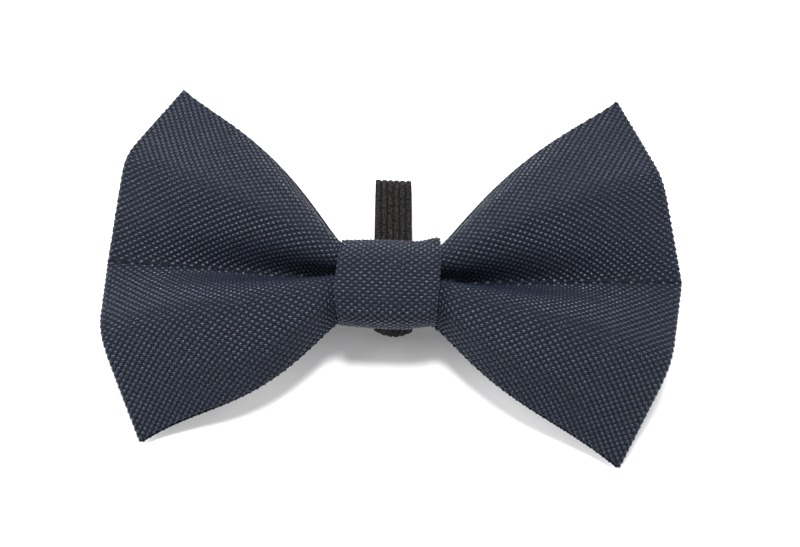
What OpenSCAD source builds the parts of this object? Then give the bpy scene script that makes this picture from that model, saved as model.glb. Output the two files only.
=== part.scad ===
// Ready-made bow tie that slides onto a collar.
// It lies on its back: +Z leaves the front of the knot, +X runs along the wings and
// +Y points to the upper edge. The origin is under the knot, on the resting plane.

/* [Knot] */
// Width of the knot along the bow
knot_w = 19.8; // [16:0.2:24]
// Height of the knot across the bow
knot_h = 17.4; // [16:0.2:20]
// Front to back depth of the knot
knot_d = 12; // [12:0.2:14]
// Thickness of the folded band that makes the knot
wrap_t = 1; // [0.8:0.1:1.1]

/* [Wings] */
// Thickness of the outer fabric
fabric_t = 0.45; // [0.35:0.05:0.5]
// Thickness of the interlining
interlining_t = 0.3; // [0.2:0.05:0.35]
// Half of the wing's thickness at its fold
fold_r = 1.5; // [1.4:0.1:2]
// Extra half thickness where the two panels part, half way along
pocket = 0.8; // [0:0.1:1.5]
// How far the wings arch above a straight line from knot to end
crown = 2.5; // [0:0.5:4]

/* [Collar loop] */
// Width of the elastic
elastic_w = 7; // [5:0.5:10]
// Thickness of the elastic
elastic_t = 0.9; // [0.8:0.1:1]
// Clear height for the collar inside the loop
collar_gap = 4.2; // [4.2:0.1:6]
// Rubber strands in the elastic
strand_count = 6; // [4:1:8]
// Where the loop turns back below the knot
loop_y0 = -4.6; // [-5:0.1:-3.8]
// Where the loop turns back above the knot
loop_y1 = 20.6; // [14:0.1:24]

/* [Hidden] */

navy = [0.12, 0.14, 0.2];
facing_navy = [0.09, 0.1, 0.15];
felt_white = [0.85, 0.85, 0.82];
thread_navy = [0.07, 0.08, 0.12];
black_braid = [0.03, 0.03, 0.03];
rubber_grey = [0.3, 0.29, 0.27];

// Heights of the stack below the knot
tack_t = 0.25;
move_gap = 0.3;
loop_h = 3 * elastic_t + collar_gap + tack_t;
loop_r = loop_h / 2;
knot_z = loop_h + move_gap + knot_d / 2;
layer_gap = 0.05;

// Corner radius of the knot's band, seen along the bow
corner_r = 5;

// The pleated waist. Each fold line has a place across the waist and a height above the
// knot's middle: upper edge, upper ridge, valley, lower ridge, lower edge
waist_y = [6.9, 4, 1.4, -1.6, -6.9];
waist_dz = [-0.6, 3.9, -3.6, 3.9, -0.6];
waist_end = knot_w / 2 + 0.4;
wing_start = knot_w / 2 + 2.1;
neck_gap = 0.05;

// How far each fold line bows away from a straight one, half way along the wing
bow_out = [2.6, 1, 0, -0.8, -2];

// How widely each fold is rounded, as a share of the panels beside it
fold_round = [0.1, 0.45, 0.2, 0.45, 0.1];
binding_t = 0.35;
binding_turns = 6;
binding_pitch = 0.55;

// End of each fold line of a wing, at the middle of its fold: direction from the knot in
// degrees, reach from the knot, and height above the resting plane
left_ends = [[43.6, 58.1, 5], [24.7, 56.2, 11.5], [4.6, 54.2, 4.5], [-12.2, 54.2, 12.5], [-32.7, 53.8, 1.5]];
right_ends = [[43.8, 59.8, 5], [24.7, 56.5, 11.5], [5.1, 56.2, 4.5], [-13.6, 54.3, 12.5], [-34, 53.7, 1.5]];
steps_along = 6;
steps_across = 16;
steps_round = 4;

// Rubber strands inside the elastic
strand_pitch = elastic_w / strand_count;
strand_w = 0.6 * strand_pitch;
strand_t = 0.45 * elastic_t;
strand_fit = 0.04;
lap_y0 = loop_y0 + 0.2;
lap_y1 = loop_y0 + 8;
seam_y = 2;

// A value at b, from 0 to 4, between the five fold lines: straight panels with sharp folds,
// then the same with each fold rounded by averaging over a window round b
function straight(v, b) = let (i = max(0, min(3, floor(b))), t = b - i) v[i] * (1 - t) + v[i + 1] * t;
function sum(v, i = 0) = i < len(v) ? v[i] + sum(v, i + 1) : 0;
function rounded(v, b) =
    let (w = fold_round[round(b)], window = [-1:0.25:1], values = [for (k = window) straight(v, b + w * k)])
    sum(values) / len(values);

// Middle surface of a wing at a, from 0 at the knot to 1 at the end, and b, across
function wing_point(ends, a, b) = let (
    end_x = [for (e = ends) e[1] * cos(e[0])],
    end_y = [for (e = ends) e[1] * sin(e[0])],
    end_z = [for (e = ends) e[2]]
) [
    wing_start * (1 - a) + rounded(end_x, b) * a,
    rounded(waist_y, b) * (1 - a) + rounded(end_y, b) * a + rounded(bow_out, b) * sin(180 * a),
    (knot_z + rounded(waist_dz, b)) * (1 - a) + rounded(end_z, b) * a + crown * sin(180 * a)
];
function half_t(a) = fold_r + pocket * sin(180 * a);

// One row of a hairpin layer, at depth d under the wing's skin. s runs out along the front,
// round the end and back along the rear
function hairpin_point(ends, s, b, d) =
    let (n = steps_along, m = steps_round)
    s <= n ? wing_point(ends, s / n, b) + [0, 0, half_t(s / n) - d]
    : s < n + m ? let (turn = 90 - 180 * (s - n) / m)
        wing_point(ends, 1, b) + (fold_r - d) * [cos(turn), 0, sin(turn)]
    : let (a = (2 * n + m - s) / n) wing_point(ends, a, b) - [0, 0, half_t(a) - d];

// A layer of the wing, between two depths under its skin, as one closed hairpin
module wing_layer(ends, d0, d1) {
    rows = 2 * steps_along + steps_round;
    cols = steps_across;
    outer = [for (s = [0:rows]) for (j = [0:cols]) hairpin_point(ends, s, 4 * j / cols, d0)];
    inner = [for (s = [0:rows]) for (j = [0:cols]) hairpin_point(ends, s, 4 * j / cols, d1)];
    size = len(outer);
    function at(s, j) = s * (cols + 1) + j;
    function pair(p, q, r, t) = [[p, q, r], [p, r, t]];
    skin = [for (s = [0:rows - 1]) for (j = [0:cols - 1])
        each pair(at(s, j), at(s, j + 1), at(s + 1, j + 1), at(s + 1, j))];
    lining = [for (f = skin) [size + f[0], size + f[2], size + f[1]]];
    ends_faces = [for (j = [0:cols - 1]) for (s = [0, rows])
        let (f = pair(at(s, j), size + at(s, j), size + at(s, j + 1), at(s, j + 1)))
        each (s == 0 ? f : [for (t = f) [t[0], t[2], t[1]]])];
    side_faces = [for (s = [0:rows - 1]) for (j = [0, cols])
        let (f = pair(at(s, j), at(s + 1, j), size + at(s + 1, j), size + at(s, j)))
        each (j == 0 ? f : [for (t = f) [t[0], t[2], t[1]]])];
    polyhedron(concat(outer, inner), concat(skin, lining, ends_faces, side_faces));
}

module wing_outer_fabric(ends)
    color(navy) wing_layer(ends, 0, fabric_t);

module wing_interlining(ends)
    color(felt_white) wing_layer(ends, fabric_t + layer_gap, fabric_t + layer_gap + interlining_t);

module wing_facing(ends) {
    depth = fabric_t + interlining_t + 2 * layer_gap;
    color(facing_navy) wing_layer(ends, depth, depth + fabric_t);
}

// Section of the pleated waist, seen along the bow
module pleat_section() {
    across = [for (j = [0:steps_across]) 4 * j / steps_across];
    top = [for (b = across) [rounded(waist_y, b), knot_z + rounded(waist_dz, b) + fold_r]];
    under = [for (p = top) p - [0, 2 * fold_r]];
    polygon(concat(top, [for (i = [steps_across:-1:0]) under[i]]));
}

// Extrudes a section drawn in Y and Z along X
module along_bow(x0, x1)
    translate([x0, 0, 0]) rotate([90, 0, 90]) linear_extrude(x1 - x0) children();

module rounded_box(w, h, r) {
    square([w - 2 * r, h], center = true);
    square([w, h - 2 * r], center = true);
    for (x = [-1, 1], y = [-1, 1])
        translate([x * (w / 2 - r), y * (h / 2 - r)]) circle(r, $fn = 48);
}

module ring_section(w, h, r, t)
    translate([0, knot_z]) difference() {
        rounded_box(w, h, r);
        rounded_box(w - 2 * t, h - 2 * t, r - t);
    }

// The band of the knot: an open strip whose two folded ends meet at the back
module knot_wrap()
    color(navy) difference() {
        along_bow(-knot_w / 2, knot_w / 2) ring_section(knot_h, knot_d, corner_r, wrap_t);
        translate([-knot_w, seam_y - 0.1, knot_z - knot_d / 2 - 1]) cube([2 * knot_w, 0.2, wrap_t + 2]);
    }

// Slip stitches that close the band, either side of the loop
module knot_seam_stitches() {
    stitch_r = 0.12;
    color(thread_navy) for (side = [-1, 1], i = [0:4])
        translate([side * (elastic_w / 2 + 1 + i), seam_y - 0.8, knot_z - knot_d / 2 - stitch_r - 0.01])
            rotate([-90, 0, 0]) cylinder(h = 1.6, r = stitch_r, $fn = 16);
}

module waist_pleats()
    color(navy) along_bow(-waist_end, waist_end) pleat_section();

// Turns of thread that hold the pleats, under the knot's band
module waist_binding() {
    room = wrap_t + binding_t / 2;
    color(thread_navy) for (i = [0:binding_turns - 1]) {
        x = (i - binding_turns / 2) * binding_pitch;
        along_bow(x, x + binding_t)
            ring_section(knot_h - 2 * room, knot_d - 2 * room, corner_r - room, binding_t);
    }
}

// The short stretch of pleats that bends when a wing is flexed
module neck()
    color(navy) along_bow(waist_end, wing_start - neck_gap) pleat_section();

// A stretch of elastic. Its section is w wide from x0, between two distances from the
// inside of the loop
module straight_run(x0, w, z0, z1, y0, y1)
    translate([x0, y0, z0]) cube([w, y1 - y0, z1 - z0]);

module bend_run(x0, w, r0, r1, y, turn)
    translate([x0, y, loop_r]) rotate([0, 90, 0]) rotate([0, 0, turn])
        rotate_extrude(angle = 180, $fn = 64) translate([r0, 0]) square([r1 - r0, w]);

function strand_x(i) = (i + 0.5) * strand_pitch - elastic_w / 2;
strand_in = (elastic_t - strand_t) / 2;

module run_strands(z0, y0, y1, fit)
    for (i = [0:strand_count - 1])
        straight_run(strand_x(i) - strand_w / 2 - fit, strand_w + 2 * fit,
            z0 + strand_in - fit, z0 + elastic_t - strand_in + fit, y0, y1);

module bend_strands(y, turn, fit)
    for (i = [0:strand_count - 1])
        bend_run(strand_x(i) - strand_w / 2 - fit, strand_w + 2 * fit,
            loop_r - elastic_t + strand_in - fit, loop_r - strand_in + fit, y, turn);

module run_braid(z0)
    color(black_braid) difference() {
        straight_run(-elastic_w / 2, elastic_w, z0, z0 + elastic_t, loop_y0, loop_y1);
        run_strands(z0, loop_y0 - 1, loop_y1 + 1, strand_fit);
    }

module run_rubber(z0)
    color(rubber_grey) run_strands(z0, loop_y0, loop_y1, 0);

module bend_braid(y, turn)
    color(black_braid) difference() {
        bend_run(-elastic_w / 2, elastic_w, loop_r - elastic_t, loop_r, y, turn);
        bend_strands(y, turn, strand_fit);
    }

module bend_rubber(y, turn)
    color(rubber_grey) bend_strands(y, turn, 0);

inner_run_z = loop_h - elastic_t;
upward = 0;
downward = 180;

// The end of the elastic that overlaps its start, inside the loop
module elastic_lap()
    color(black_braid) straight_run(-elastic_w / 2, elastic_w,
        inner_run_z - elastic_t, inner_run_z, lap_y0, lap_y1);

// The bar tack that sews the overlap, low down, to the back of the knot: threads side by side
module loop_bar_tack() {
    threads = 12;
    pitch = (elastic_w - 1) / threads;
    color(thread_navy) for (i = [0:threads - 1])
        translate([(i + 0.5) * pitch - (elastic_w - 1) / 2, loop_y0 + 0.6,
            inner_run_z - elastic_t - tack_t / 2])
            rotate([-90, 0, 0]) cylinder(h = 2, r = 0.48 * tack_t, $fn = 16);
}

knot_wrap();
knot_seam_stitches();
waist_pleats();
waist_binding();
mirror([1, 0, 0]) wing_outer_fabric(left_ends);  // left_outer_fabric
mirror([1, 0, 0]) wing_interlining(left_ends);  // left_interlining
mirror([1, 0, 0]) wing_facing(left_ends);  // left_facing
mirror([1, 0, 0]) neck();  // left_neck
wing_outer_fabric(right_ends);  // right_outer_fabric
wing_interlining(right_ends);  // right_interlining
wing_facing(right_ends);  // right_facing
neck();  // right_neck
run_braid(inner_run_z);  // inner_run_braid
run_rubber(inner_run_z);  // inner_run_rubber
elastic_lap();
loop_bar_tack();
bend_braid(loop_y1, upward);  // upper_bend_braid
bend_rubber(loop_y1, upward);  // upper_bend_rubber
bend_braid(loop_y0, downward);  // lower_bend_braid
bend_rubber(loop_y0, downward);  // lower_bend_rubber
run_braid(0);  // outer_run_braid
run_rubber(0);  // outer_run_rubber
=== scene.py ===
"""A ready-made bow tie in coarse navy nylon, lying on its back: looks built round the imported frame.

Lengths are in millimetres until a mesh is made, which turns them into metres. On woven pieces u runs
along the bow's threads and v across them, both measured on the flat cloth.
"""

import math

import bpy
import numpy as np
from mathutils import Matrix, Vector


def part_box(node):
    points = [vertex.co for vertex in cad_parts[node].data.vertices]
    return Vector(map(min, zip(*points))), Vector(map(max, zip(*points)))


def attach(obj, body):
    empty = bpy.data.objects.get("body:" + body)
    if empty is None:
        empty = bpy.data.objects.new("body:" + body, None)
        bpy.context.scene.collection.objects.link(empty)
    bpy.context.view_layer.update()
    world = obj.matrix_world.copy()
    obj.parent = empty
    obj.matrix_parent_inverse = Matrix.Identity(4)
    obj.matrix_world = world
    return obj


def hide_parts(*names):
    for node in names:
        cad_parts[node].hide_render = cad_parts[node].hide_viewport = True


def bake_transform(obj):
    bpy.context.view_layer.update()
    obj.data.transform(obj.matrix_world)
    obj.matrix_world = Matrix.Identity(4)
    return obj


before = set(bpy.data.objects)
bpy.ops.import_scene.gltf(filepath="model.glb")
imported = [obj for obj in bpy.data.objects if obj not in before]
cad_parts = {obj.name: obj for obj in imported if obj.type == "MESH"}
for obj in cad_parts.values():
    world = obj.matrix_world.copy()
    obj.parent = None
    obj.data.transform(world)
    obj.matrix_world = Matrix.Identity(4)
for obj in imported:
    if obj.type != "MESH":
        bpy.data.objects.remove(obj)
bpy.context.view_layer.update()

MM = 0.001
Z_AXIS = np.array([0.0, 0.0, 1.0])


# ---------------------------------------------------------------- sizes, from the frame

def box_mm(node):
    low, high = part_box(node)
    return np.array(low) / MM, np.array(high) / MM


knot_low, knot_high = box_mm("knot_wrap")
KNOT_HALF_W, KNOT_HALF_H, KNOT_HALF_D = (knot_high - knot_low) / 2
KNOT_Z = (knot_low[2] + knot_high[2]) / 2
KNOT_BACK_Z = knot_low[2]

inner_low, inner_high = box_mm("inner_run_braid")
lap_low, lap_high = box_mm("elastic_lap")
tack_low, tack_high = box_mm("loop_bar_tack")
ELASTIC_W = inner_high[0] - inner_low[0]
ELASTIC_T = inner_high[2] - inner_low[2]
LOOP_Y0, LOOP_Y1 = inner_low[1], inner_high[1]
LOOP_R = inner_high[2] / 2

# The weave: distance between neighbouring threads along and across the bow, how far each thread
# rises and falls, how thick it is, and how many times over its width fits into the distance
PITCH_U, PITCH_V = 0.78, 0.65
WEFT_WAVE, WARP_WAVE = 0.19, 0.05
WEFT_R, WARP_R = 0.22, 0.14
WEFT_SLIM, WARP_SLIM = 1.9, 2.5
WEAVE_TOP = WEFT_WAVE + WEFT_R
# Powers that make a thread's float flat and its dip short
FLOAT_FLATNESS, DIP_SHORTNESS = 0.4, 1.6
# How much the crossings differ in height and the threads in thickness, as shares
CROSSING_SPREAD, THREAD_SPREAD = 0.12, 0.08

# A wing's five fold lines, from the upper edge to the lower one: direction from the knot in
# degrees, reach from the knot and height above the table. They reach up to 1.2 mm further than
# the CAD model's, whose cloth is thicker at its edges
FOLD_ENDS = {
    "left": [(43.6, 59.3, 5), (24.7, 56.8, 11.5), (4.6, 54.4, 4.5), (-12.2, 54.4, 12.5),
             (-33, 55, 1.5)],
    "right": [(43.8, 60.9, 5), (24.7, 56.7, 11.5), (5.1, 56.4, 4.5), (-13.6, 54.5, 12.5),
              (-34.3, 54.9, 1.5)],
}
# How far each fold line bows away from a straight one, and the power that puts its fullest part
# nearer the knot
FOLD_BOW = {
    "left": [(4.7, 0.5), (3, 2), (0, 1), (-1.5, 1), (-6.6, 0.9)],
    "right": [(4.0, 0.4), (1.2, 0), (0, 0), (-0.9, 1), (-4.4, 1)],
}
UPPER_EDGE, UPPER_RIDGE, VALLEY, LOWER_RIDGE, LOWER_EDGE = range(5)
# At each fold line: how round the fold is, as a share of a panel, half the thickness of the wing
# at its end, how much that grows half way along, and how far the wing rises there
FOLD_ROUND = np.array([0.1, 0.16, 0.08, 0.2, 0.1])
FOLD_HALF = [0.65, 1.3, 1.3, 1.3, 0.65]
POCKET = [0.1, 0.8, 0.8, 0.8, 0.1]
CROWN = [1.5, 3.0, 0.4, 3.0, 1.5]
# The folded rims of the cloth's long edges, and the tightest that any cloth turns
RIM_R, TIGHTEST_R = 0.32, 0.02
# The upper edge rolls down near the knot: by how much, over how much of the panel and how soon
# that fades along the wing
EDGE_ROLL, ROLL_WIDTH, ROLL_FADE = 3.0, 0.35, 1.5

# Where the folds leave the knot, as (y, height above the knot's middle), half a panel apart
KNOT_FRONT = [(8.3, 2.2), (6.8, 3.6), (4.8, 4.3), (2.7, 2.6), (1.3, -3.4),
              (0.7, 2.2), (-1.2, 4.4), (-5.2, 3.2), (-8.1, -2.0)]
KNOT_BACK = [(8.0, 0.9), (5.7, -1.6), (4.0, -1.6), (2.6, -2.8), (1.3, -4.7),
             (0.1, -3.2), (-1.8, -1.6), (-5.0, -2.6), (-7.7, -3.4)]
# Inside the knot the folds are squeezed by this share within this part of a wing's length
SQUEEZE, SQUEEZE_OVER = 0.14, 0.04
# The cloth reaches this far into the knot, in parts of KNOT_DEPTH
INSIDE_KNOT = -0.05
KNOT_DEPTH = 40


# ---------------------------------------------------------------- curves

def straight(values, b):
    """A value at b between the five fold lines, with flat panels and sharp folds."""
    values = np.asarray(values, float)
    i = np.clip(np.floor(b), 0, 3).astype(int)
    t = b - i
    return values[i] * (1 - t) + values[i + 1] * t


def rounded(values, b):
    """The same with each fold rounded, by averaging over a window round b."""
    width = FOLD_ROUND[np.clip(np.rint(b), 0, 4).astype(int)]
    return sum(straight(values, b + width * k) for k in np.linspace(-1, 1, 9)) / 9


def smooth_curve(points, t):
    """A curve through evenly spaced points, for t from 0 to len(points) - 1."""
    p = np.asarray(points, float)
    p = np.vstack([2 * p[0] - p[1], p, 2 * p[-1] - p[-2]])
    i = np.clip(np.floor(t), 0, len(points) - 2).astype(int)
    f = (t - i)[..., None]
    a, b, c, d = p[i], p[i + 1], p[i + 2], p[i + 3]
    return b + 0.5 * f * (c - a + f * (2 * a - 5 * b + 4 * c - d + f * (3 * (b - c) + d - a)))


def ease(t):
    """A smooth step from 0 to 1."""
    t = np.clip(t, 0, 1)
    return t * t * (3 - 2 * t)


def leaving(a, softness=0.05):
    """Rises from 0 at the knot to 1 at the wing's end, starting gently."""
    def rise(t):
        return (t + np.sqrt(t * t + softness ** 2) - softness) / 2
    return np.where(a > 0, rise(a) / rise(1.0), 0)


def unit(v):
    return v / (np.linalg.norm(v, axis=-1, keepdims=True) + 1e-12)


def signed_power(x, power):
    """The size of x raised to a power, with the sign of x."""
    return np.sign(x) * np.abs(x) ** power


def part_of(x, whole):
    """x as a part of the whole, from 0 to 1."""
    return np.clip(x / whole, 0, 1)


def lattice_normals(points):
    """Normals of a grid of points, on the side from which its first axis, then its second, turn left."""
    return unit(np.cross(np.gradient(points, axis=0), np.gradient(points, axis=1)))


def half_turn(past, radius):
    """Cloth folded back on itself: advance and depth of a point that is past the edge by a length."""
    turn = np.clip(past / radius, 0, math.pi)
    back = np.maximum(past - math.pi * radius, 0)
    return radius * np.sin(turn) - back, radius * (1 - np.cos(turn))


# ---------------------------------------------------------------- the shape of a wing

class Panel:
    """The front or back of one wing. a runs from 0 at the knot's side to 1 at the wing's end,
    below 0 inside the knot and above 1 round the end fold; b runs across from the upper edge, 0,
    to the lower one, 4, and up to 1 past them round the folded rim."""

    def __init__(self, side, front, share=1.0):
        direction, reach, self.end_z = np.array(FOLD_ENDS[side], float).T
        self.end_x = reach * np.cos(np.radians(direction))
        self.end_y = reach * np.sin(np.radians(direction))
        self.bow, self.fade = np.array(FOLD_BOW[side], float).T
        self.front = front
        self.out = 1.0 if front else -1.0
        self.share = share

    def core(self, a, b):
        """The panel between its long edges, for a up to 1. share is under 1 for the layers inside."""
        front, back = smooth_curve(KNOT_FRONT, 2 * b), smooth_curve(KNOT_BACK, 2 * b)
        knot = (front + back) / 2 + self.out * self.share * (front - back) / 2
        knot = knot * (1 - SQUEEZE * ease(-a / SQUEEZE_OVER))[..., None]
        far = leaving(a)
        along = np.clip(a, 0, 1)
        arch = np.sin(np.pi * along)
        thick = self.share * (straight(FOLD_HALF, b) + straight(POCKET, b) * arch)
        bow = straight(self.bow, b) * arch * (1 - along) ** straight(self.fade, b)
        x = KNOT_HALF_W + np.where(a > 0, a * (rounded(self.end_x, b) - KNOT_HALF_W), a * KNOT_DEPTH)
        y = knot[..., 0] * (1 - far) + rounded(self.end_y, b) * far + bow
        end_z = rounded(self.end_z, b) + self.out * thick
        roll = EDGE_ROLL * np.clip(1 - b / ROLL_WIDTH, 0, 1) ** 2 * (1 - along) ** ROLL_FADE
        z = (KNOT_Z + knot[..., 1]) * (1 - far) + end_z * far + straight(CROWN, b) * arch - roll
        return np.stack([x, y, z], -1)

    def normal(self, a, b):
        """The outward normal of the core."""
        step = 0.01
        along = self.core(a + step, b) - self.core(a - step, b)
        lower, upper = np.minimum(b + step, LOWER_EDGE), np.maximum(b - step, UPPER_EDGE)
        across = self.core(a, lower) - self.core(a, upper)
        return unit(np.cross(across, along)) * self.out

    def surface(self, a, b):
        """The core, with the folded rims past its long edges and the half turn past its end."""
        a, b = np.broadcast_arrays(np.asarray(a, float), np.asarray(b, float))
        on, within = np.minimum(a, 1), np.clip(b, UPPER_EDGE, LOWER_EDGE)
        base = self.core(on, within)
        rim = np.pi * np.clip(np.abs(b - within), 0, 1)[..., None]
        rim_depth = RIM_R * (1 - np.cos(rim))
        beside_edge = np.where(b < VALLEY, UPPER_EDGE + 0.05, LOWER_EDGE - 0.05)
        across = unit(base - self.core(on, beside_edge))
        base = base + RIM_R * np.sin(rim) * across - rim_depth * self.normal(on, within)
        turn = np.pi * np.clip(a - 1, 0, 1)[..., None]
        half_fold = self.share * straight(FOLD_HALF, within)[..., None]
        radius = np.maximum(half_fold - rim_depth, TIGHTEST_R)
        at_end = self.core(np.ones_like(on), within)
        before_end = self.core(np.full_like(on, 0.9), within)
        outward = unit((at_end - before_end) * [1, 1, 0])
        return base + radius * (np.sin(turn) * outward - self.out * (1 - np.cos(turn)) * Z_AXIS)


# ---------------------------------------------------------------- the weave

# Where a lattice has its rows within one thread: on the gap, the shoulders and the crown
SAMPLES = {2: (0, 0.5), 3: (0, 0.3, 0.7), 5: (0, 0.15, 0.37, 0.63, 0.85)}
# How finely a surface is measured before the weave is laid on it
CHART_STEPS_A, CHART_STEPS_B = 150, 181
# Added before rounding down, so that a lattice line on a gap belongs to the thread it starts
ON_GAP = 1e-6
# The threads' unevenness, which repeats after this many
THREADS = 512
rng = np.random.default_rng(7)
CROSSING_UNEVEN = rng.uniform(-1, 1, (THREADS, THREADS))
WEFT_UNEVEN = rng.uniform(-1, 1, THREADS)
WARP_UNEVEN = rng.uniform(-1, 1, THREADS)


def thread_lines(low, high, pitch, detail):
    """Lattice lines between two places on the cloth, with the same number on every thread."""
    first, last = math.floor(low / pitch), math.ceil(high / pitch)
    return ((np.arange(first, last)[:, None] + np.array(SAMPLES[detail])) * pitch).ravel()


def weave_height(u, v):
    """Height of a plain weave of round threads above its gaps. Weft threads run along u."""
    i = np.floor(u / PITCH_U + ON_GAP).astype(int)
    j = np.floor(v / PITCH_V + ON_GAP).astype(int)
    x, y = u / PITCH_U - i - 0.5, v / PITCH_V - j - 0.5
    crossing = 1 + CROSSING_SPREAD * CROSSING_UNEVEN[i % THREADS, j % THREADS]
    parity = np.where((i + j) % 2 == 0, 1, -1) * crossing
    weft_r = WEFT_R * (1 + THREAD_SPREAD * WEFT_UNEVEN[j % THREADS])
    warp_r = WARP_R * (1 + THREAD_SPREAD * WARP_UNEVEN[i % THREADS])
    weft = WEFT_WAVE * float_wave(x, parity) + weft_r * round_thread(WEFT_SLIM * y)
    warp = WARP_WAVE * float_wave(y, -parity) + warp_r * round_thread(WARP_SLIM * x)
    return np.maximum(weft, warp)


def float_wave(x, parity):
    """A thread's height along one crossing: a long flat float over, a short dip under."""
    bend = np.clip(np.cos(np.pi * x), 0, 1)
    return parity * np.where(parity > 0, bend ** FLOAT_FLATNESS, bend ** DIP_SHORTNESS)


def round_thread(x):
    """The round top of a thread or rib across it, where x is 0 in its middle and 1 at its side."""
    return np.sqrt(np.clip(1 - x ** 2, 0, 1))


def fabric_chart(surface, reference, b_range, a_range, detail):
    """Lays a lattice of the weave over part of a surface, keeping the cloth's lengths. Rows run
    parallel to the reference fold; what doesn't fit between the ranges is folded away."""
    a = np.linspace(*a_range, CHART_STEPS_A)
    b = np.linspace(*b_range, CHART_STEPS_B)
    grid = surface(a[:, None], b[None, :])
    spine = surface(a, np.full_like(a, float(reference)))
    lengths = np.concatenate([[0], np.cumsum(np.linalg.norm(np.diff(spine, axis=0), axis=1))])
    lengths = np.interp(1.0, a, lengths) - lengths
    tangent = unit(np.gradient(spine, axis=0))
    last = np.searchsorted(a, 1.0) - 2
    tangent[last:] = tangent[last]
    u = lengths[:, None] - np.einsum("abk,ak->ab", grid - spine[:, None], tangent)
    steps = np.linalg.norm(np.diff(grid, axis=1), axis=2)
    dv = np.sqrt(np.clip(steps ** 2 - np.diff(u, axis=1) ** 2, 1e-8, None))
    v = np.concatenate([np.zeros((len(a), 1)), np.cumsum(dv, axis=1)], axis=1)
    v -= np.array([np.interp(reference, b, row) for row in v])[:, None]

    cols = thread_lines(u.min(), u.max(), PITCH_U, detail)
    rows = thread_lines(v.min(), v.max(), PITCH_V, detail)
    row_b = np.array([np.interp(rows, v[i], b) for i in range(len(a))])
    row_u = np.array([np.interp(row_b[i], b, u[i]) for i in range(len(a))])
    at_a = np.empty((len(cols), len(rows)))
    at_b = np.empty_like(at_a)
    for j in range(len(rows)):
        order = np.argsort(row_u[:, j])
        at_a[:, j] = np.interp(cols, row_u[order, j], a[order])
        at_b[:, j] = np.interp(cols, row_u[order, j], row_b[order, j])
    return cols, rows, at_a, at_b


# ---------------------------------------------------------------- meshes

def lattice_quads(shape, dropped=()):
    """Quads of a lattice, without those whose corners are all folded away to one side."""
    index = np.arange(shape[0] * shape[1]).reshape(shape)
    quads = np.stack([index[:-1, :-1], index[1:, :-1], index[1:, 1:], index[:-1, 1:]], -1).reshape(-1, 4)
    for flag in dropped:
        quads = quads[~flag.ravel()[quads].all(axis=1)]
    return quads


def make_mesh(name, points, faces, material, uv=None, relief=None):
    """A smooth mesh object from points in millimetres."""
    mesh = bpy.data.meshes.new(name)
    mesh.from_pydata((points * MM).tolist(), [], faces)
    mesh.update()
    if uv is not None:
        layer = mesh.uv_layers.new(name="threads")
        corner = np.zeros(len(mesh.loops), np.int32)
        mesh.loops.foreach_get("vertex_index", corner)
        layer.data.foreach_set("uv", uv[corner].astype(np.float32).ravel())
    if relief is not None:
        attribute = mesh.attributes.new("relief", "FLOAT", "POINT")
        attribute.data.foreach_set("value", relief.astype(np.float32))
    mesh.shade_smooth()
    mesh.materials.append(material)
    obj = bpy.data.objects.new(name, mesh)
    bpy.context.scene.collection.objects.link(obj)
    return obj


def woven_mesh(name, cols, rows, base, normals, material, dropped=(), inside_out=False, shown=1.0):
    """A woven sheet whose threads stand out as real relief, all of it where shown is 1 and none
    where it is 0. Its base points are the lattice of cols and rows on the cloth's outer side.
    Returns the piece, its flat extent and its flat area."""
    u, v = np.meshgrid(cols, rows, indexing="ij")
    height = weave_height(u, v)
    points = (base + normals * ((height - WEAVE_TOP) * shown)[..., None]).reshape(-1, 3)
    # The relief also sets the nylon's painted shade between the threads and painted highlight on their
    # crowns; where shown is 0 the painted shade is at its darkest
    relief = (height * shown / WEAVE_TOP).ravel()
    quads = lattice_quads(u.shape, dropped)
    flat = np.stack([u, v], -1).reshape(-1, 2)
    corners = flat[quads]
    area = np.abs((corners[:, 2] - corners[:, 0]).prod(axis=1)).sum()
    width, length = sorted(np.ptp(corners.reshape(-1, 2), axis=0) * MM)
    used, quads = np.unique(quads, return_inverse=True)
    quads = quads.reshape(-1, 4)
    if inside_out:
        quads = quads[:, ::-1]
    uv = flat[used] / [PITCH_U, PITCH_V]
    piece = make_mesh(name, points[used], quads.tolist(), material, uv, relief[used])
    return piece, (width, length), area * MM * MM


def loft(rings, ring_closed=False):
    """Points and faces of a tube through equal rings of points. Its ends are joined or capped."""
    count, size = rings.shape[:2]
    points = rings.reshape(-1, 3)
    faces = []
    for i in range(count if ring_closed else count - 1):
        k = (i + 1) % count
        for j in range(size):
            m = (j + 1) % size
            faces.append([i * size + j, i * size + m, k * size + m, k * size + j])
    if not ring_closed:
        faces.append(list(range(size))[::-1])
        faces.append(list(range((count - 1) * size, count * size)))
    return points, faces


def joined(parts):
    """Points and faces of several lofts as one."""
    points, faces, count = [], [], 0
    for part_points, part_faces in parts:
        points.append(part_points)
        faces += [[count + i for i in face] for face in part_faces]
        count += len(part_points)
    return np.vstack(points), faces


def thread_tube(path, radius, side, sides=8):
    """Rings of a thread along a path that bends only at right angles to side."""
    path, side = np.asarray(path, float), np.asarray(side, float)
    other = unit(np.cross(np.gradient(path, axis=0), side))
    turn = np.linspace(0, 2 * np.pi, sides, endpoint=False)[None, :, None]
    return path[:, None] + radius * (np.cos(turn) * side + np.sin(turn) * other[:, None])


# ---------------------------------------------------------------- materials

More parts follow.
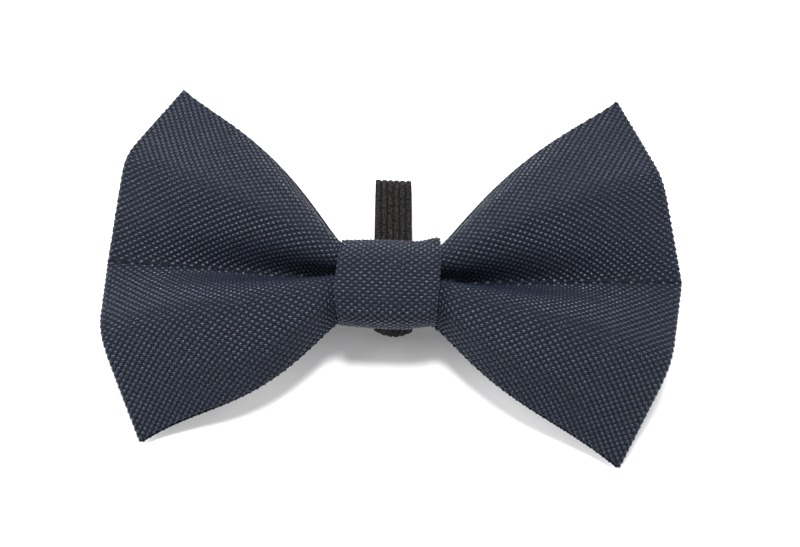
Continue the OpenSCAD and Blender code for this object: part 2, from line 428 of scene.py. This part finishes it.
class Shading:
    """A new material with short ways to add nodes to it."""

    def __init__(self, name):
        self.material = bpy.data.materials.new(name)
        self.material.use_nodes = True
        self.nodes = self.material.node_tree.nodes
        self.links = self.material.node_tree.links
        self.shader = self.nodes["Principled BSDF"]

    def link(self, source, target):
        self.links.new(source, target)

    def threads(self):
        node = self.nodes.new("ShaderNodeUVMap")
        node.uv_map = "threads"
        return node.outputs["UV"]

    def place(self):
        return self.nodes.new("ShaderNodeTexCoord").outputs["Object"]

    def stretched(self, vector, scale):
        node = self.nodes.new("ShaderNodeMapping")
        node.inputs["Scale"].default_value = scale
        self.link(vector, node.inputs["Vector"])
        return node.outputs["Vector"]

    def noise(self, vector, scale, detail=3.0):
        node = self.nodes.new("ShaderNodeTexNoise")
        node.inputs["Scale"].default_value = scale
        node.inputs["Detail"].default_value = detail
        self.link(vector, node.inputs["Vector"])
        return node.outputs["Fac"]

    def attribute(self, name):
        node = self.nodes.new("ShaderNodeAttribute")
        node.attribute_name = name
        return node.outputs["Fac"]

    def remap(self, value, low, high, from_low=0.0, from_high=1.0):
        node = self.nodes.new("ShaderNodeMapRange")
        node.inputs["From Min"].default_value = from_low
        node.inputs["From Max"].default_value = from_high
        node.inputs["To Min"].default_value = low
        node.inputs["To Max"].default_value = high
        self.link(value, node.inputs["Value"])
        return node.outputs["Result"]

    def product(self, first, second):
        node = self.nodes.new("ShaderNodeMath")
        node.operation = "MULTIPLY"
        self.link(first, node.inputs[0])
        self.link(second, node.inputs[1])
        return node.outputs[0]

    def between(self, factor, first, second):
        node = self.nodes.new("ShaderNodeMix")
        self.link(factor, node.inputs[0])
        self.link(first, node.inputs[2])
        self.link(second, node.inputs[3])
        return node.outputs[0]

    def shade(self, colour, brightness):
        """A colour whose brightness varies."""
        node = self.nodes.new("ShaderNodeMix")
        node.data_type = "RGBA"
        node.blend_type = "MULTIPLY"
        node.inputs[0].default_value = 1.0
        node.inputs[6].default_value = (*colour, 1)
        self.link(brightness, node.inputs[7])
        self.link(node.outputs[2], self.shader.inputs["Base Color"])

    def bump(self, height, strength, distance_mm):
        node = self.nodes.new("ShaderNodeBump")
        node.inputs["Strength"].default_value = strength
        node.inputs["Distance"].default_value = distance_mm * MM
        self.link(height, node.inputs["Height"])
        self.link(node.outputs["Normal"], self.shader.inputs["Normal"])

    def finish(self, roughness, specular=0.5, sheen=0.0):
        """Roughness as a number or a value that varies; gloss and sheen as numbers."""
        if isinstance(roughness, float):
            self.shader.inputs["Roughness"].default_value = roughness
        else:
            self.link(roughness, self.shader.inputs["Roughness"])
        self.shader.inputs["Specular IOR Level"].default_value = specular
        self.shader.inputs["Sheen Weight"].default_value = sheen
        self.shader.inputs["Sheen Roughness"].default_value = 0.4
        return self.material


def yarn_fibres(s):
    """Fine fibres along whichever thread is on top."""
    parity = s.nodes.new("ShaderNodeTexChecker")
    parity.inputs["Scale"].default_value = 1.0
    s.link(s.threads(), parity.inputs["Vector"])
    along_u = s.noise(s.stretched(s.threads(), (1.5, 14, 1)), 1.0)
    along_v = s.noise(s.stretched(s.threads(), (14, 1.5, 1)), 1.0)
    return s.between(parity.outputs["Fac"], along_v, along_u)


def woven_nylon(name, colour):
    """Bulky filament yarn: painted shade between the threads and a painted highlight on their crowns,
    fine fibres along each, uneven in tone.
    """
    s = Shading(name)
    fibres = yarn_fibres(s)
    relief = s.attribute("relief")
    # Painted shade and highlight: by the threads' relief, the base colour falls to nearly black in the
    # gaps and rises past its own colour on the crowns
    depth = s.remap(relief, 0.03, 1.15, 0.45, 0.85)
    patches = s.remap(s.noise(s.threads(), 0.3), 0.7, 1.3)
    streaks = s.remap(fibres, 0.7, 1.4)
    s.shade(colour, s.product(s.product(depth, patches), streaks))
    s.bump(fibres, 0.4, 0.06)
    s.shader.inputs["Specular Tint"].default_value = (0.72, 0.8, 1.0, 1)
    s.shader.inputs["Sheen Tint"].default_value = (0.5, 0.6, 1.0, 1)
    gloss = s.product(s.remap(relief, 0.95, 0.26, 0.4, 0.7), s.remap(fibres, 0.8, 1.2))
    return s.finish(gloss, specular=0.4, sheen=0.06)


def lining_cloth(name, colour):
    """Thin matt plain weave."""
    s = Shading(name)
    fibres = s.noise(s.stretched(s.place(), (1500, 4000, 1500)), 1.0)
    s.shade(colour, s.remap(fibres, 0.6, 1.4))
    s.bump(fibres, 0.5, 0.1)
    return s.finish(0.75)


def felt(name, colour):
    """Pressed fibres in no direction."""
    s = Shading(name)
    fluff = s.noise(s.place(), 2500, 6.0)
    s.shade(colour, s.remap(fluff, 0.7, 1.1))
    s.bump(fluff, 0.7, 0.15)
    return s.finish(0.95, specular=0.2, sheen=0.3)


def sewing_thread(name, colour):
    """Twisted thread: slanting plies."""
    s = Shading(name)
    wave = s.nodes.new("ShaderNodeTexWave")
    wave.bands_direction = "DIAGONAL"
    wave.inputs["Scale"].default_value = 900.0
    s.link(s.place(), wave.inputs["Vector"])
    s.shade(colour, s.remap(wave.outputs["Fac"], 0.5, 1.3))
    s.bump(wave.outputs["Fac"], 0.6, 0.05)
    return s.finish(0.5)


def braid(name, colour):
    """Dull black textured yarn with dusty patches, painted shade in the grooves between its ribs and
    painted light on their crowns.
    """
    s = Shading(name)
    yarn = s.remap(s.noise(s.stretched(s.place(), (3500, 2000, 2000)), 1.0), 0, 1, 0.35, 0.65)
    dust = s.remap(s.noise(s.place(), 500), 0.6, 1.5)
    # Painted shade: by the ribs' relief, the base colour is darkest in the grooves and lightest on the
    # crowns
    painted_groove_shade = s.remap(s.attribute("relief"), 0.1, 1.5, 0.5, 1.0)
    s.shade(colour, s.product(s.product(s.remap(yarn, 0.1, 2.6), dust), painted_groove_shade))
    s.bump(yarn, 0.8, 0.1)
    return s.finish(s.remap(yarn, 0.8, 0.45), specular=0.08)


def rubber(name, colour):
    s = Shading(name)
    chalk = s.noise(s.place(), 1500)
    s.shade(colour, s.remap(chalk, 0.8, 1.2))
    return s.finish(0.8, specular=0.3)


NAVY = (0.0068, 0.0092, 0.0195)
nylon = woven_nylon("navy nylon", NAVY)
facing_nylon = lining_cloth("facing nylon", (0.018, 0.022, 0.038))
interlining = felt("interlining felt", (0.7, 0.69, 0.65))
navy_thread = sewing_thread("navy thread", (0.02, 0.024, 0.04))
black_braid = braid("black braid", (0.0075, 0.0063, 0.006))
pale_rubber = rubber("rubber strand", (0.3, 0.29, 0.27))


# ---------------------------------------------------------------- the wings

# Each stretch of a wing's cloth: its name, the fold line its threads follow and where it lies
# between the fold lines, with a little overlap. A rim is folded back past each long edge
OVERLAP = 0.01
UPPER_RIM, LOWER_RIM = UPPER_EDGE - 1, LOWER_EDGE + 1
CHARTS = {
    "front": [("upper", UPPER_RIDGE, (UPPER_RIM, VALLEY + OVERLAP)),
              ("lower", LOWER_RIDGE, (VALLEY - OVERLAP, LOWER_RIM))],
    "back": [("upper", UPPER_EDGE, (UPPER_RIM, UPPER_RIDGE + OVERLAP)),
             ("middle", VALLEY, (UPPER_RIDGE - OVERLAP, LOWER_RIDGE + OVERLAP)),
             ("lower", LOWER_EDGE, (LOWER_RIDGE - OVERLAP, LOWER_RIM))],
}
# Share of a panel over which the threads fade out at each seam; with their relief the painted shade
# there goes to its darkest, a thin dark line along the valley crease
SEAM_FADE = 0.03
AT_BORDER = 1e-5
DETAIL = {"front": 5, "back": 3}
# The layers inside a wing: how far each lies from its middle as a share of the outer cloth's
# distance, how near the long edges it comes and where its back half starts
INTERLINING_SHARE, FACING_SHARE = 0.2, 0.08
INNER_MARGIN, BACK_START = 0.12, 0.98


def flexes_with(piece):
    """Bakes the piece's placement into its points."""
    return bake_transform(piece)


def mirrored(points, side):
    """Points made for the right wing, on the side asked for."""
    return points * [-1, 1, 1] if side == "left" else points


def outer_stretch(side, face, part, reference, b_range):
    """One stretch of the strip's outer cloth, whose threads follow one fold line."""
    panel = Panel(side, face == "front")
    a_range = (INSIDE_KNOT, 2.0 if panel.front else 1.0)
    cols, rows, a, b = fabric_chart(panel.surface, reference, b_range, a_range, DETAIL[face])
    base = mirrored(panel.surface(a, b), side)
    turned = -panel.out if side == "left" else panel.out
    normals = lattice_normals(base) * turned
    dropped = [b < b_range[0] + AT_BORDER, b > b_range[1] - AT_BORDER,
               a < a_range[0] + AT_BORDER, a > a_range[1] - AT_BORDER]
    to_seam = np.minimum(np.abs(b - b_range[0]), np.abs(b - b_range[1]))
    piece, flat, area = woven_mesh(f"{side}_{face}_{part}", cols, rows, base, normals, nylon, dropped,
                                   inside_out=turned < 0, shown=ease(to_seam / SEAM_FADE))
    flexes_with(piece)
    return piece


def outer_fabric(side):
    """The strip's outer cloth on one wing: the front, round the wing's end, and the back."""
    made = [outer_stretch(side, face, *chart) for face in ("front", "back") for chart in CHARTS[face]]
    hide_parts(f"{side}_outer_fabric", f"{side}_neck")


def inner_layer(side, node, share, material):
    """A layer inside the wing: one hairpin of cloth round the end fold."""
    front, back = Panel(side, True, share), Panel(side, False, share)
    b = np.linspace(UPPER_EDGE + INNER_MARGIN, LOWER_EDGE - INNER_MARGIN, 60)
    a = np.linspace(0, 2, 61)
    out = front.surface(a[:, None], b[None, :])
    home = back.surface(np.linspace(BACK_START, 0, 30)[:, None], b[None, :])
    points = mirrored(np.concatenate([out, home]), side)
    quads = lattice_quads(points.shape[:2])
    piece = make_mesh(node + "_layer", points.reshape(-1, 3), quads.tolist(), material)
    flexes_with(piece)
    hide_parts(node)


# ---------------------------------------------------------------- the knot

KNOT_SQUARENESS = 2.4
KNOT_LEAN = math.radians(-8)
KNOT_SKEW = math.tan(math.radians(2.6))
# Along the band's middle its face swells, and at its sides it lies lower than the CAD band's
SWELL, SIDE_DROP = 0.35, 0.3
# The right end of the band's top stands up, round this x and over this width
TOP_LIFT, LIFT_X, LIFT_WIDTH = 1.3, 9.5, 3
# Its lower right corner is drawn up, from this x outwards
LOW_RIGHT_UP, LOW_RIGHT_FROM = 0.8, 4
# Three corners are drawn along the bow, to the right where positive
LOW_LEFT_ALONG, TOP_LEFT_ALONG, TOP_RIGHT_ALONG = 1.3, 0.6, -0.6
# How much cloth is tucked in past the folds at the band's sides and at its seam
SIDE_TUCK, SEAM_TUCK = 1.5, 1.0
SEAM_Y = 2.0
SEAM_R = 0.3
# The block of pleats ends this far inside the band's sides and is this much slimmer half way,
# where its front valley is pressed shut and rises above the ridges
BLOCK_INSET, BLOCK_WAIST, PRESSED_RISE = 1.2, 0.06, 1.7
# The binding thread, how far its turns lie inside the CAD binding's outside, and their roundness
BINDING_R, BINDING_MARGIN, BINDING_ROUNDNESS = 0.25, 0.5, 0.8
# The slip stitches on each side of the loop: how many, how thick, how far each slants and reaches
# across the seam, how deep it lies, how much it bulges out half way and how far its ends dip in
SLIP_STITCHES, SLIP_R = 5, 0.11
SLIP_SLANT, SLIP_REACH = 0.25, 0.9
SLIP_DEPTH, SLIP_BULGE, SLIP_DIP = 0.1, 0.22, 0.25


def knot_section():
    """Outline of the band seen along the bow: a leaning superellipse, from the seam at the back,
    under the lower side, over the front and down again."""
    seam = -math.pi / 2 + math.asin((SEAM_Y / KNOT_HALF_H) ** (KNOT_SQUARENESS / 2))
    angle = seam - np.linspace(0, 2 * np.pi, 1441)
    y = KNOT_HALF_H * signed_power(np.cos(angle), 2 / KNOT_SQUARENESS)
    z = KNOT_HALF_D * signed_power(np.sin(angle), 2 / KNOT_SQUARENESS)
    z = z + math.tan(KNOT_LEAN) * y * ease((z + KNOT_HALF_D) / (2 * KNOT_HALF_D))
    return y, z + KNOT_Z


def top_lift(x, y):
    """How far the band's top stands up towards its right end."""
    return TOP_LIFT * np.exp(-((x - LIFT_X) / LIFT_WIDTH) ** 2) * part_of(y, KNOT_HALF_H) ** 4


def drawn_corners(x, y):
    """The band's x and y, skewed and with its corners drawn up and along the bow."""
    far_right = part_of(x - LOW_RIGHT_FROM, KNOT_HALF_W - LOW_RIGHT_FROM)
    y = y + LOW_RIGHT_UP * far_right * part_of(-y, KNOT_HALF_H) ** 2
    left, right = part_of(-x, KNOT_HALF_W), part_of(x, KNOT_HALF_W)
    top, low = part_of(y, KNOT_HALF_H) ** 4, part_of(-y, KNOT_HALF_H) ** 2
    along = LOW_LEFT_ALONG * left * low + (TOP_LEFT_ALONG * left + TOP_RIGHT_ALONG * right) * top
    return x + KNOT_SKEW * y + along, y


def knot_band():
    """The band round the waist: one strip of the weave, its sides folded in and its ends meeting
    in a seam at the back."""
    y, z = knot_section()
    length = np.concatenate([[0], np.cumsum(np.hypot(np.diff(y), np.diff(z)))])
    around = length[-1] - 2 * SEAM_R
    rim = math.pi * RIM_R + SIDE_TUCK
    tuck = math.pi * SEAM_R + SEAM_TUCK
    detail = DETAIL["front"]
    cols = thread_lines(-KNOT_HALF_W - rim, KNOT_HALF_W + rim, PITCH_U, detail)
    rows = thread_lines(-tuck, around + tuck, PITCH_V, detail)
    u, v = np.meshgrid(cols, rows, indexing="ij")
    side = KNOT_HALF_W - RIM_R
    advance, rim_depth = half_turn(np.maximum(np.abs(u) - side, 0), RIM_R)
    x = np.sign(u) * (np.minimum(np.abs(u), side) + advance)
    past = np.maximum(-v, v - around)
    seam_advance, seam_depth = half_turn(np.maximum(past, 0), SEAM_R)
    on = np.clip(v, 0, around) + np.where(v < 0, -1, 1) * np.where(past > 0, seam_advance, 0)
    at_y, at_z = (np.interp(on + SEAM_R, length, c) for c in (y, z))
    out_y = np.interp(on + SEAM_R, length, -np.gradient(z, length))
    out_z = np.interp(on + SEAM_R, length, np.gradient(y, length))
    swell = SWELL * np.cos(np.pi * x / (2 * KNOT_HALF_W)) - SIDE_DROP
    depth = rim_depth + seam_depth - swell
    at_y = at_y - out_y * depth + top_lift(x, at_y)
    at_z = at_z - out_z * depth
    x, at_y = drawn_corners(x, at_y)
    base = np.stack([x, at_y, at_z], -1)
    normals = lattice_normals(base)
    piece, flat, area = woven_mesh("knot_band", cols, rows, base, normals, nylon)
    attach(piece, "knot")
    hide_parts("knot_wrap")


def pleat_block():
    """The crushed pleats inside the band, as one block: the folds' outline at its two ends, with
    the front valley pressed shut in between."""
    b = np.linspace(0, 4, 65)
    front, back = smooth_curve(KNOT_FRONT, 2 * b), smooth_curve(KNOT_BACK, 2 * b)
    (upper_y, upper_z), (lower_y, lower_z) = KNOT_FRONT[2 * UPPER_RIDGE], KNOT_FRONT[2 * LOWER_RIDGE]
    valley = (b > UPPER_RIDGE) & (b < LOWER_RIDGE)
    across = np.clip((upper_y - front[:, 0]) / (upper_y - lower_y), 0, 1)
    crest = upper_z + (lower_z - upper_z) * across + PRESSED_RISE * np.sin(np.pi * across)
    half_length = KNOT_HALF_W - BLOCK_INSET
    rings = []
    for x in np.linspace(-1, 1, 13):
        shut = 1 - x * x
        pressed = front[:, 1] + np.where(valley, shut * (crest - front[:, 1]), 0)
        outline = np.vstack([np.column_stack([front[:, 0], pressed]), back[::-1]])
        outline = outline * (1 - SQUEEZE) * (1 - BLOCK_WAIST * shut)
        ring = np.column_stack([np.full(len(outline), x * half_length), outline])
        rings.append(ring + [0, 0, KNOT_Z])
    piece = make_mesh("waist_pleat_block", *loft(np.array(rings)), nylon)
    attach(piece, "knot")
    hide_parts("waist_pleats")


def binding_turns():
    """Turns of thread wound tight round the pleats, side by side."""
    low, high = box_mm("waist_binding")
    turns = round((high[0] - low[0]) / (2 * BINDING_R))
    angle = np.linspace(0, 2 * np.pi, 64, endpoint=False)
    half_h, half_d = (high - low)[1:] / 2 - BINDING_MARGIN
    y = half_h * signed_power(np.cos(angle), BINDING_ROUNDNESS)
    z = half_d * signed_power(np.sin(angle), BINDING_ROUNDNESS)
    turn = np.linspace(0, 2 * np.pi, 8, endpoint=False)[None, :, None]
    along = np.array([1.0, 0, 0])
    parts = []
    for i in range(turns):
        middle = np.array([low[0] + (i + 0.5) * (high[0] - low[0]) / turns, 0, KNOT_Z])
        path = middle + np.column_stack([np.zeros_like(y), y, z])
        outward = unit(path - middle)
        rings = path[:, None] + BINDING_R * (np.cos(turn) * along + np.sin(turn) * outward[:, None])
        parts.append(loft(rings, ring_closed=True))
    piece = make_mesh("waist_binding_turns", *joined(parts), navy_thread)
    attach(piece, "knot")
    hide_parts("waist_binding")


def seam_stitches():
    """Slip stitches across the seam, either side of the loop, each a slanting thread that dips
    into the cloth at both ends."""
    t = np.linspace(-1, 1, 11)
    parts = []
    for side in (-1, 1):
        for i in range(SLIP_STITCHES):
            x = side * (ELASTIC_W / 2 + 1 + i) + SLIP_SLANT * t
            bulge, dip = SLIP_BULGE * np.cos(np.pi * t / 2), SLIP_DIP * np.abs(t) ** 3
            z = KNOT_BACK_Z + SLIP_DEPTH - bulge + dip
            path = np.column_stack([x, SEAM_Y + SLIP_REACH * t, z])
            parts.append(loft(thread_tube(path, SLIP_R, (1, 0, 0))))
    piece = make_mesh("seam_slip_stitches", *joined(parts), navy_thread)
    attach(piece, "knot")
    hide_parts("knot_seam_stitches")


# ---------------------------------------------------------------- the elastic loop

RIBS = 6
POINTS_PER_RIB = 8
RIB_PITCH = ELASTIC_W / RIBS
# The ribs' height as a share of the braid's thickness, and how much of it the grooves keep
RIB_SHARE, GROOVE_SHARE = 0.88, 0.45
# The braid's knitted stitches: how long each is, how far it rises and how much it slants
KNIT, KNIT_RISE, KNIT_SLANT = 0.55, 0.05, 0.9
BRAID_STEP = 0.14
# The braid is a little wider than the CAD's at the lower end and narrows towards the upper one
BRAID_SPREAD, BRAID_NARROWING = 1.08, 0.05
# The lower bend is drawn up, more at its sides than in the middle
BEND_PULL, BEND_CURVE = 0.35, 1.1
# The loop lies to the right of the knot's middle and leans to the left going up
LOOP_OFF, LOOP_SKEW = 0.95, 0.04
STRAND_R = 0.18
# The stitches of the tack: how many, how thick, how far each slants and how deep its ends dip
TACK_STITCHES, TACK_R = 14, 0.12
TACK_SLANT, TACK_DIP = 0.1, 0.5


def loop_frame(s, radius):
    """Place (y, z) and outward normal at a length s round the closed loop, from the lower end of
    the run against the knot, for a line that bends on that radius."""
    run = LOOP_Y1 - LOOP_Y0
    bend = math.pi * radius
    s = np.asarray(s) % (2 * (run + bend))
    sections = [s < run, s < run + bend, s < 2 * run + bend]
    past_far_run = s - 2 * run - bend
    turn = np.select(sections, [0, (s - run) / radius, math.pi], math.pi + past_far_run / radius)
    centre = np.select(sections, [LOOP_Y0 + s, LOOP_Y1, LOOP_Y1 - (s - run - bend)], LOOP_Y0)
    out = np.stack([np.sin(turn), np.cos(turn)], -1)
    return np.stack([centre, np.full_like(centre, LOOP_R)], -1) + radius * out, out


def rib_height(x, s):
    """Half the thickness of the braid at x across it: rounded ribs with the slant of knitted yarn."""
    across = (x / RIB_PITCH + RIBS / 2) % 1 - 0.5
    rib = GROOVE_SHARE + (1 - GROOVE_SHARE) * round_thread(2 * across)
    stitch = np.cos(2 * np.pi * (s / KNIT + KNIT_SLANT * np.abs(across)))
    return ELASTIC_T / 2 * RIB_SHARE * rib + KNIT_RISE * stitch * np.cos(np.pi * across)


def braid_outline():
    """x round the braid's outline and which side it is on."""
    x = np.linspace(-ELASTIC_W / 2, ELASTIC_W / 2, RIBS * POINTS_PER_RIB + 1)
    return np.concatenate([x, x[::-1]]), np.concatenate([np.ones_like(x), -np.ones_like(x)])


def braid_relief(s):
    """How far each point of the braid stands out, from 0 in the grooves to about 1."""
    # This relief also sets the braid's painted shade in its grooves
    x, _ = braid_outline()
    return (rib_height(x[None, :], s[:, None]) / (ELASTIC_T / 2)).ravel()


def braid_rings(s, place, out, width=1.0):
    """Rings of ribbed braid along a path in Y and Z."""
    outline_x, up = braid_outline()
    height = up * rib_height(outline_x[None, :], s[:, None])
    spread = np.asarray(width)[..., None] * outline_x[None, :]
    return as_worn(spread, place[:, None] + height[..., None] * out[:, None])


def as_worn(x, points):
    """The loop as it lies: a little askew, its lower bend drawn up at the sides."""
    y, z = points[..., 0], points[..., 1]
    below = np.clip((LOOP_Y0 - y) / LOOP_R, 0, 1)
    y = y + below * (BEND_PULL + BEND_CURVE * (2 * x / ELASTIC_W) ** 2)
    return np.stack([x + LOOP_OFF - LOOP_SKEW * y, y, z], -1)


def stretches(piece):
    """Bakes the piece's placement into its points."""
    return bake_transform(piece)


def elastic_loop():
    """The ribbed braid: one closed ring round both runs and both bends."""
    radius = LOOP_R - ELASTIC_T / 2
    total = 2 * (LOOP_Y1 - LOOP_Y0 + math.pi * radius)
    s = np.linspace(0, total, round(total / BRAID_STEP), endpoint=False)
    place, out = loop_frame(s, radius)
    width = BRAID_SPREAD - BRAID_NARROWING * (place[:, 0] - LOOP_Y0) / (LOOP_Y1 - LOOP_Y0)
    points, faces = loft(braid_rings(s, place, out, width), ring_closed=True)
    piece = make_mesh("elastic_loop", points, faces, black_braid, relief=braid_relief(s))
    stretches(piece)
    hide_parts("inner_run_braid", "outer_run_braid", "upper_bend_braid", "lower_bend_braid")


def rubber_strands():
    """The strands inside the braid, one in each rib."""
    radius = LOOP_R - ELASTIC_T / 2
    s = np.linspace(0, 2 * (LOOP_Y1 - LOOP_Y0 + math.pi * radius), 120, endpoint=False)
    place, out = loop_frame(s, radius)
    turn = np.linspace(0, 2 * np.pi, 8, endpoint=False)
    parts = []
    for i in range(RIBS):
        x = (i + 0.5 - RIBS / 2) * RIB_PITCH + STRAND_R * np.cos(turn)
        points = place[:, None] + STRAND_R * np.sin(turn)[None, :, None] * out[:, None]
        parts.append(loft(as_worn(np.broadcast_to(x, points.shape[:2]), points), ring_closed=True))
    piece = make_mesh("rubber_strands", *joined(parts), pale_rubber)
    stretches(piece)
    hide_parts("inner_run_rubber", "outer_run_rubber", "upper_bend_rubber", "lower_bend_rubber")


def lap_end():
    """The end of the elastic that overlaps its start, inside the loop."""
    y = np.arange(lap_low[1], lap_high[1], BRAID_STEP)
    place = np.column_stack([y, np.full_like(y, (lap_low[2] + lap_high[2]) / 2)])
    out = np.broadcast_to([0.0, 1.0], place.shape)
    points, faces = loft(braid_rings(y, place, out))
    piece = make_mesh("elastic_lap_end", points, faces, black_braid, relief=braid_relief(y))
    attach(piece, "loop")
    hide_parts("elastic_lap")


def bar_tack():
    """A close row of stitches through both layers of elastic and the knot's back."""
    t = np.linspace(-1, 1, 13)
    low, high = tack_low, tack_high
    middle_y, half_y = (low[1] + high[1]) / 2, (high[1] - low[1]) / 2
    parts = []
    for i in range(TACK_STITCHES):
        x = low[0] + (i + 0.5) * (high[0] - low[0]) / TACK_STITCHES + TACK_SLANT * t
        z = low[2] + TACK_R + TACK_DIP * np.abs(t) ** 6
        path = np.column_stack([x, middle_y + half_y * t, z])
        parts.append(loft(thread_tube(path, TACK_R, (1, 0, 0))))
    piece = make_mesh("loop_tack_stitches", *joined(parts), navy_thread)
    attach(piece, "loop")
    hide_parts("loop_bar_tack")


# ---------------------------------------------------------------- stage and camera

CAMERA_AZIMUTH, CAMERA_ELEVATION = 2.5, 74
CAMERA_LENS, CAMERA_DISTANCE = 75.0, 0.317
# How far to the right of the knot's middle and above it the camera aims
AIM_RIGHT, AIM_UP = 0.0023, 0.0020
LIGHT_DISTANCE = 0.9
ROOM_LIGHT = 0.08
# Each light's name, azimuth, elevation, size and power
LIGHTS = [
    ("key", 180, 73, (0.22, 0.18), 10),
    ("north", 190, 50, (0.3, 0.3), 2.5),
    ("west", 258, 38, (0.5, 0.5), 8),
    ("east", 100, 38, (0.5, 0.5), 5),
    ("front", 0, 30, (1.2, 0.5), 4.5),
]


def camera_axes(azimuth, elevation):
    """Right, up and back directions of a camera that looks at the origin from there."""
    a, e = math.radians(azimuth), math.radians(elevation)
    back = Vector((math.sin(a) * math.cos(e), -math.cos(a) * math.cos(e), math.sin(e)))
    right = Vector((math.cos(a), math.sin(a), 0))
    return right, back.cross(right), back


def make_camera():
    right, up, back = camera_axes(CAMERA_AZIMUTH, CAMERA_ELEVATION)
    target = Vector((0, 0, KNOT_Z * MM)) + right * AIM_RIGHT + up * AIM_UP
    data = bpy.data.cameras.new("camera")
    data.lens = CAMERA_LENS
    data.clip_start = 0.01
    camera = bpy.data.objects.new("camera", data)
    rotation = Matrix((right, up, back)).transposed()
    place = Matrix.Translation(target + back * CAMERA_DISTANCE)
    camera.matrix_world = place @ rotation.to_4x4()
    bpy.context.scene.collection.objects.link(camera)
    bpy.context.scene.camera = camera


def area_light(name, azimuth, elevation, size, power):
    """A rectangular light that faces the origin."""
    data = bpy.data.lights.new(name, "AREA")
    data.shape = "RECTANGLE"
    data.size, data.size_y = size
    data.energy = power
    light = bpy.data.objects.new(name, data)
    _, _, back = camera_axes(azimuth, elevation)
    light.location = back * LIGHT_DISTANCE
    light.rotation_euler = back.to_track_quat("Z", "Y").to_euler()
    bpy.context.scene.collection.objects.link(light)


def make_floor():
    bpy.ops.mesh.primitive_plane_add(size=3)
    floor = bpy.context.object
    floor.name = "table"
    s = Shading("white table")
    grain = s.noise(s.place(), 40)
    s.shade((0.9, 0.9, 0.91), s.remap(grain, 0.99, 1.01))
    s.finish(0.7, specular=0.3)
    floor.data.materials.append(s.material)


def make_room(strength):
    """Even white light from all round."""
    world = bpy.data.worlds.new("room")
    world.use_nodes = True
    background = world.node_tree.nodes["Background"]
    background.inputs["Color"].default_value = (1, 1, 1, 1)
    background.inputs["Strength"].default_value = strength
    bpy.context.scene.world = world
    bpy.context.scene.view_settings.view_transform = "Standard"


make_camera()
make_floor()
for light_settings in LIGHTS:
    area_light(*light_settings)
make_room(ROOM_LIGHT)

pleat_block()
binding_turns()
for wing_side in ("left", "right"):
    inner_layer(wing_side, f"{wing_side}_interlining", INTERLINING_SHARE, interlining)
    inner_layer(wing_side, f"{wing_side}_facing", FACING_SHARE, facing_nylon)
    outer_fabric(wing_side)
knot_band()
seam_stitches()
elastic_loop()
rubber_strands()
lap_end()
bar_tack()
